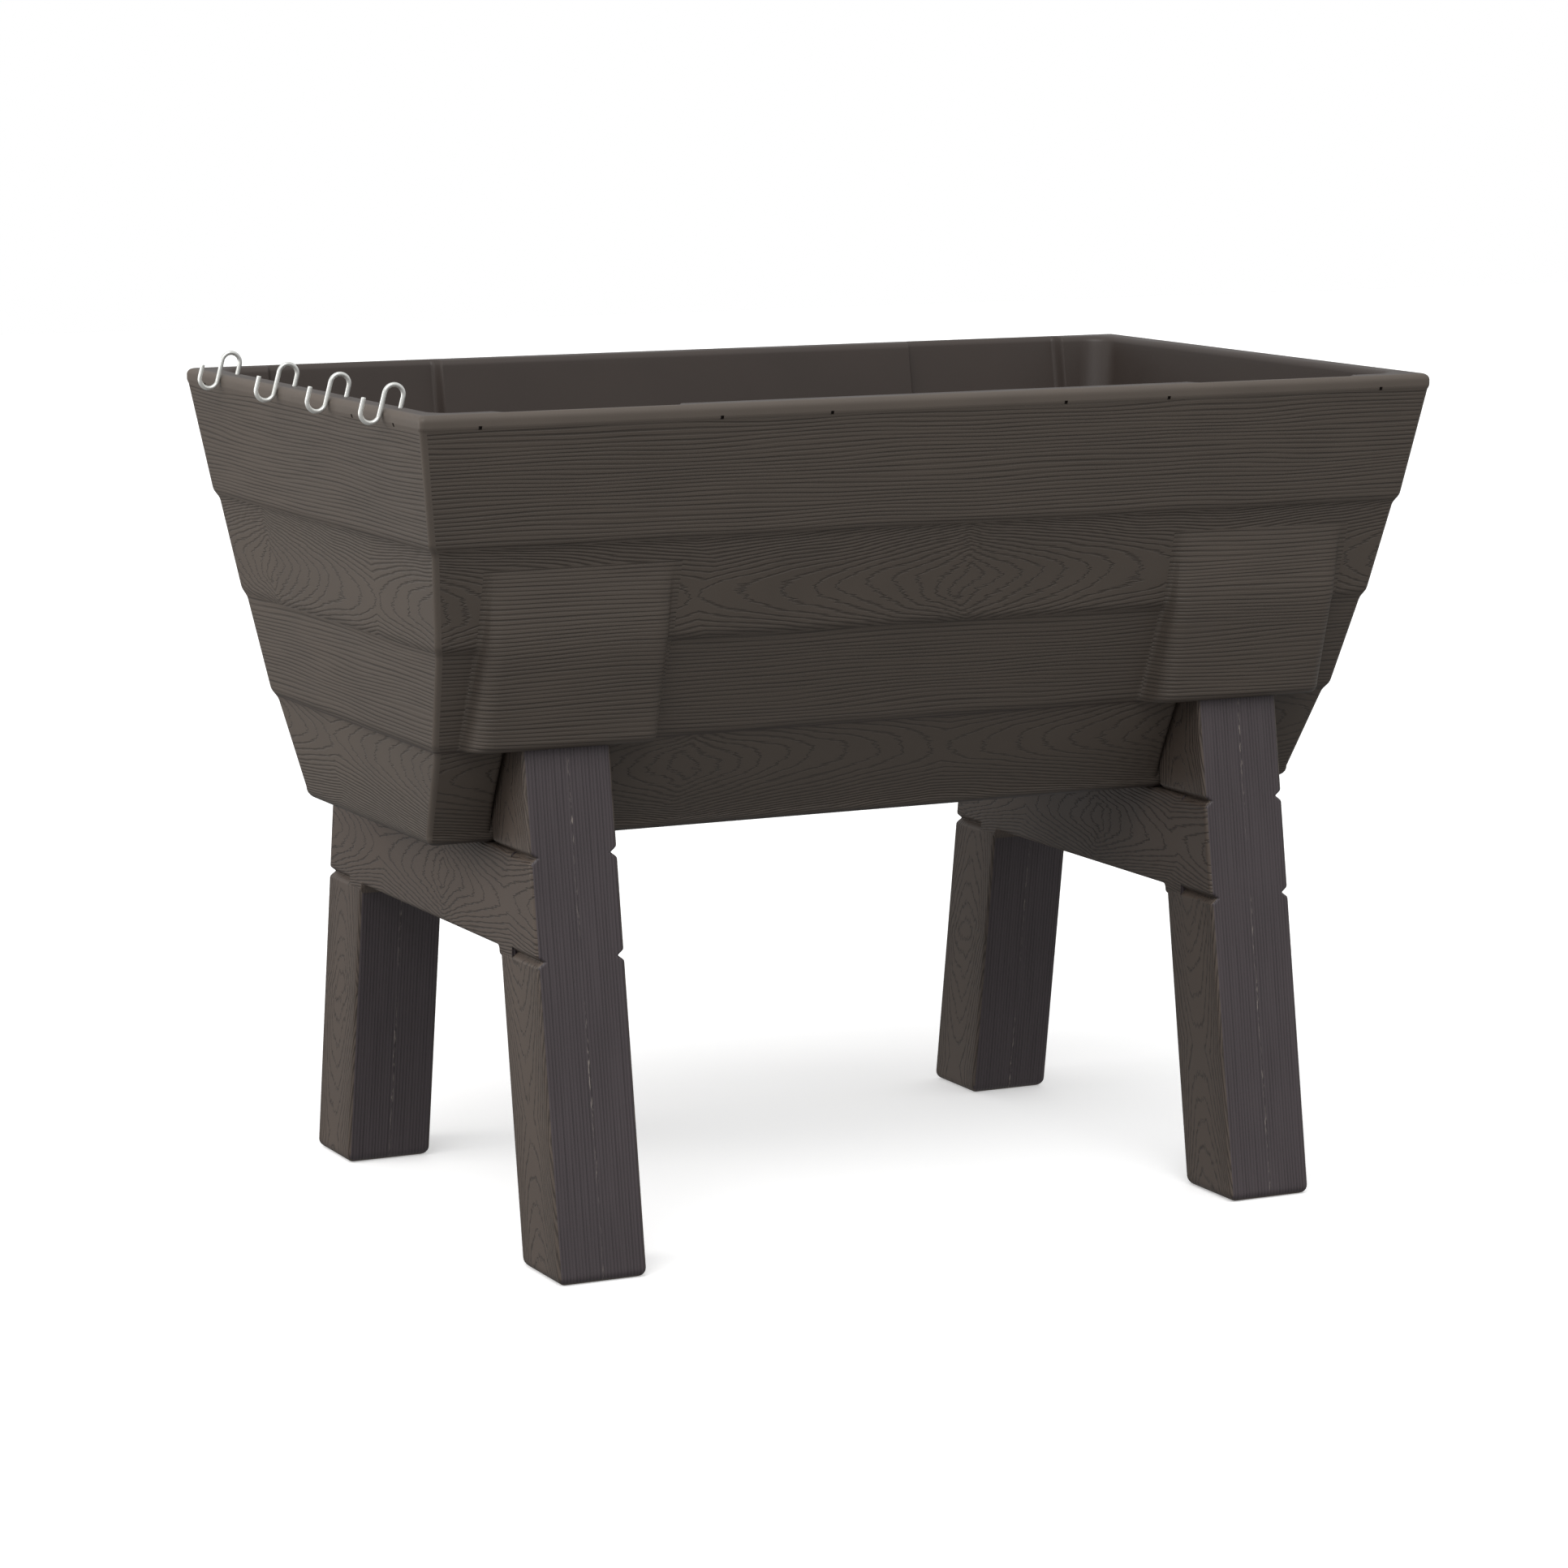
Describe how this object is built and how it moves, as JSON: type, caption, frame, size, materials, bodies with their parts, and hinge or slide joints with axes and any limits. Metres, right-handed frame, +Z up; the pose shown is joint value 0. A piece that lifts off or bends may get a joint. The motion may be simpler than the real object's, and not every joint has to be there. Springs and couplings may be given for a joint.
{
  "type": "raised planter",
  "caption": "Raised garden planter: a tapered lap-board tub with a moulded wood grain, leg pockets on its long sides, two trestle leg frames and S-hooks along one end of the rim.",
  "frame": {"origin": "on the floor, under the middle of the whole object's footprint, hooks included", "axes": "+X along the tub from the hooks' end to the other end, +Y from front to back, +Z up"},
  "size_m": [1.0942, 0.6322, 0.8387],
  "materials": {
    "tub_plastic": "matt dark taupe plastic with a moulded wood grain outside and smooth inside",
    "leg_plastic": "matt dark brown plastic with a fine moulded wood grain and a parting line",
    "zinc_steel": "bright zinc plating",
    "seal_rubber": "soft black rubber",
    "plug_plastic": "satin black plastic"
  },
  "bodies": {
    "planter": {"planter_tub": "tub_plastic", "leg_frame_left": "leg_plastic", "leg_frame_right": "leg_plastic", "leg_screw_1": "zinc_steel", "leg_screw_2": "zinc_steel", "leg_screw_3": "zinc_steel", "leg_screw_4": "zinc_steel", "leg_screw_washer_1": "zinc_steel", "leg_screw_washer_2": "zinc_steel", "leg_screw_washer_3": "zinc_steel", "leg_screw_washer_4": "zinc_steel"},
    "drain": {"drain_plug": "plug_plastic", "drain_seal": "seal_rubber"},
    "hook_1": {"s_hook_1": "zinc_steel"},
    "hook_2": {"s_hook_2": "zinc_steel"},
    "hook_3": {"s_hook_3": "zinc_steel"},
    "hook_4": {"s_hook_4": "zinc_steel"}
  },
  "joints": [
    {"name": "drain_plug_pull", "type": "slide", "parent": "planter", "child": "drain", "axis": [0, 0, -1], "range_m": [0, 0.05]},
    {"name": "hook_1_lift", "type": "slide", "parent": "planter", "child": "hook_1", "axis": [0, 0, 1], "range_m": [0, 0.06]},
    {"name": "hook_2_lift", "type": "slide", "parent": "planter", "child": "hook_2", "axis": [0, 0, 1], "range_m": [0, 0.06]},
    {"name": "hook_3_lift", "type": "slide", "parent": "planter", "child": "hook_3", "axis": [0, 0, 1], "range_m": [0, 0.06]},
    {"name": "hook_4_lift", "type": "slide", "parent": "planter", "child": "hook_4", "axis": [0, 0, 1], "range_m": [0, 0.06]}
  ]
}
